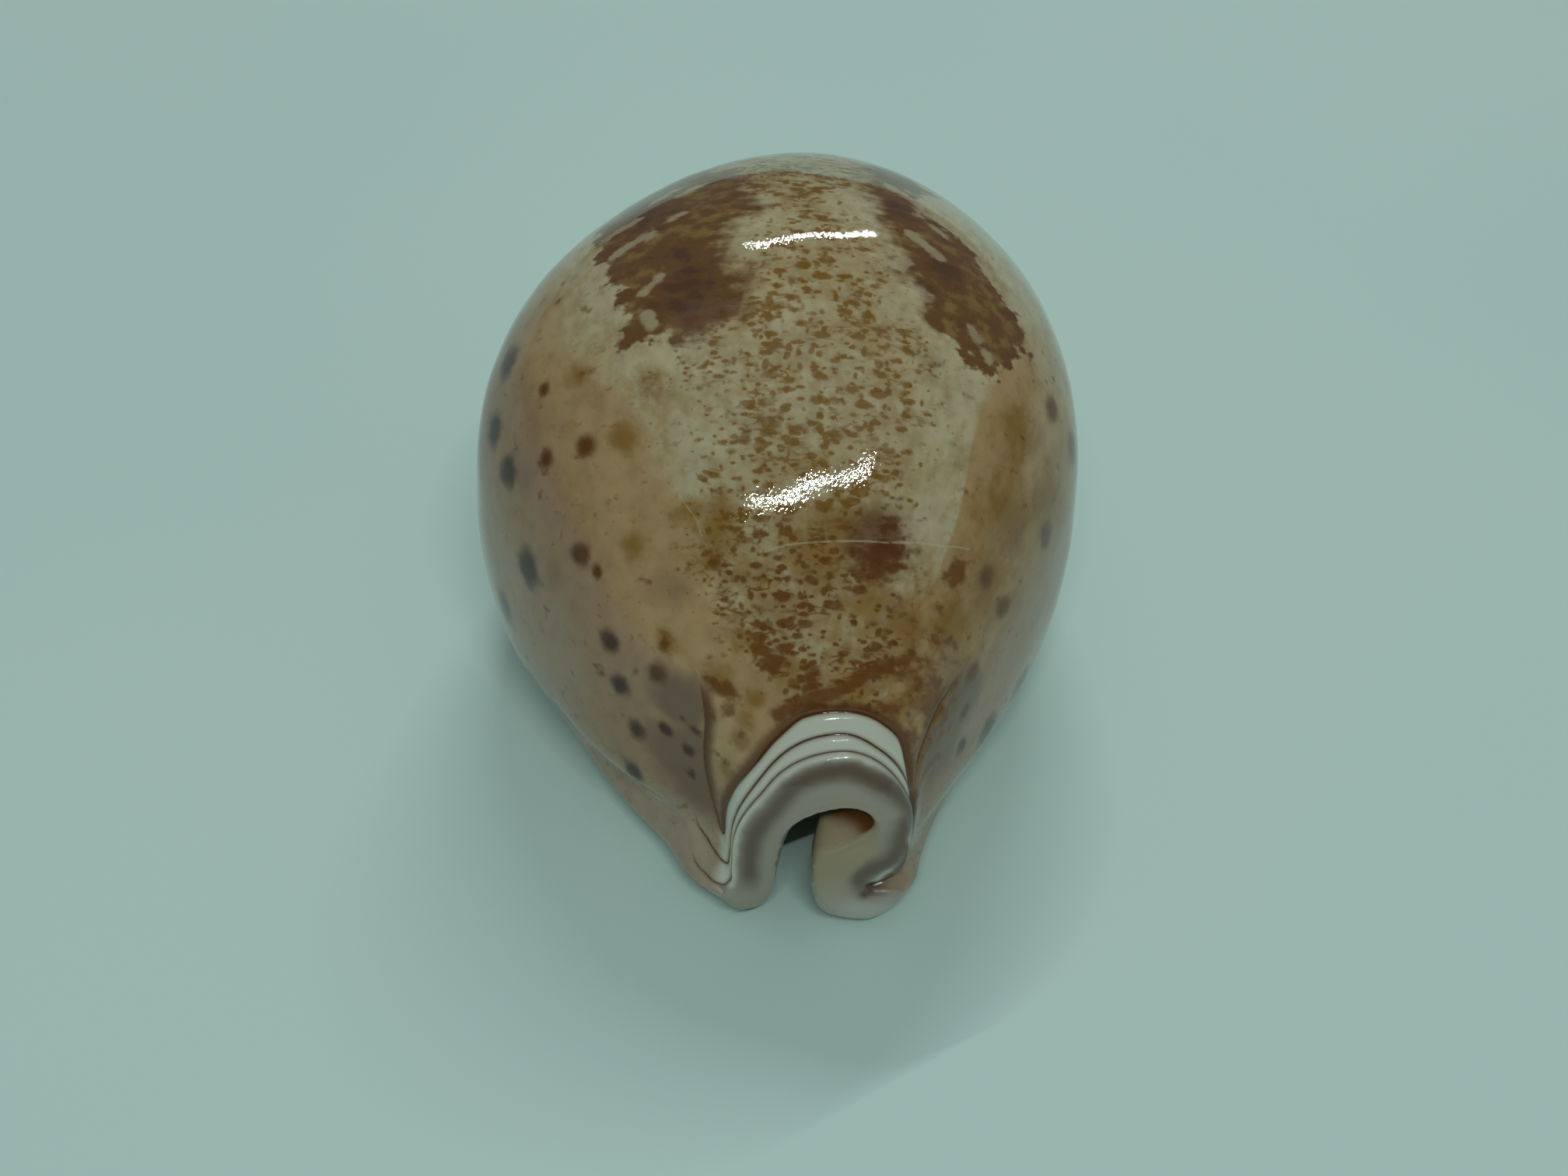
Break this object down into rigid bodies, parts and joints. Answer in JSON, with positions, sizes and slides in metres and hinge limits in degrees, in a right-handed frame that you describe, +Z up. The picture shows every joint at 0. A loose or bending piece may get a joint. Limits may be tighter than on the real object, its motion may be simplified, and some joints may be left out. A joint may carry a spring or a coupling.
{
  "type": "prince cowrie shell",
  "caption": "Domed, polished seashell lying mouth down, with a long toothed mouth, a canal at each end and brown blotches on its cream back.",
  "frame": {"origin": "middle of the box around the shell, on the surface that its base rests on", "axes": "+Z up through the domed back, +Y to the blunt hind end, -Y to the narrow front canal, -X the outer lip's side"},
  "size_m": [0.0596, 0.0812, 0.0496],
  "materials": {
    "shell": "polished natural shell, cream with brown blotches and a grey-lilac margin"
  },
  "bodies": {
    "root": {"cowrie_shell": "shell"}
  },
  "joints": []
}
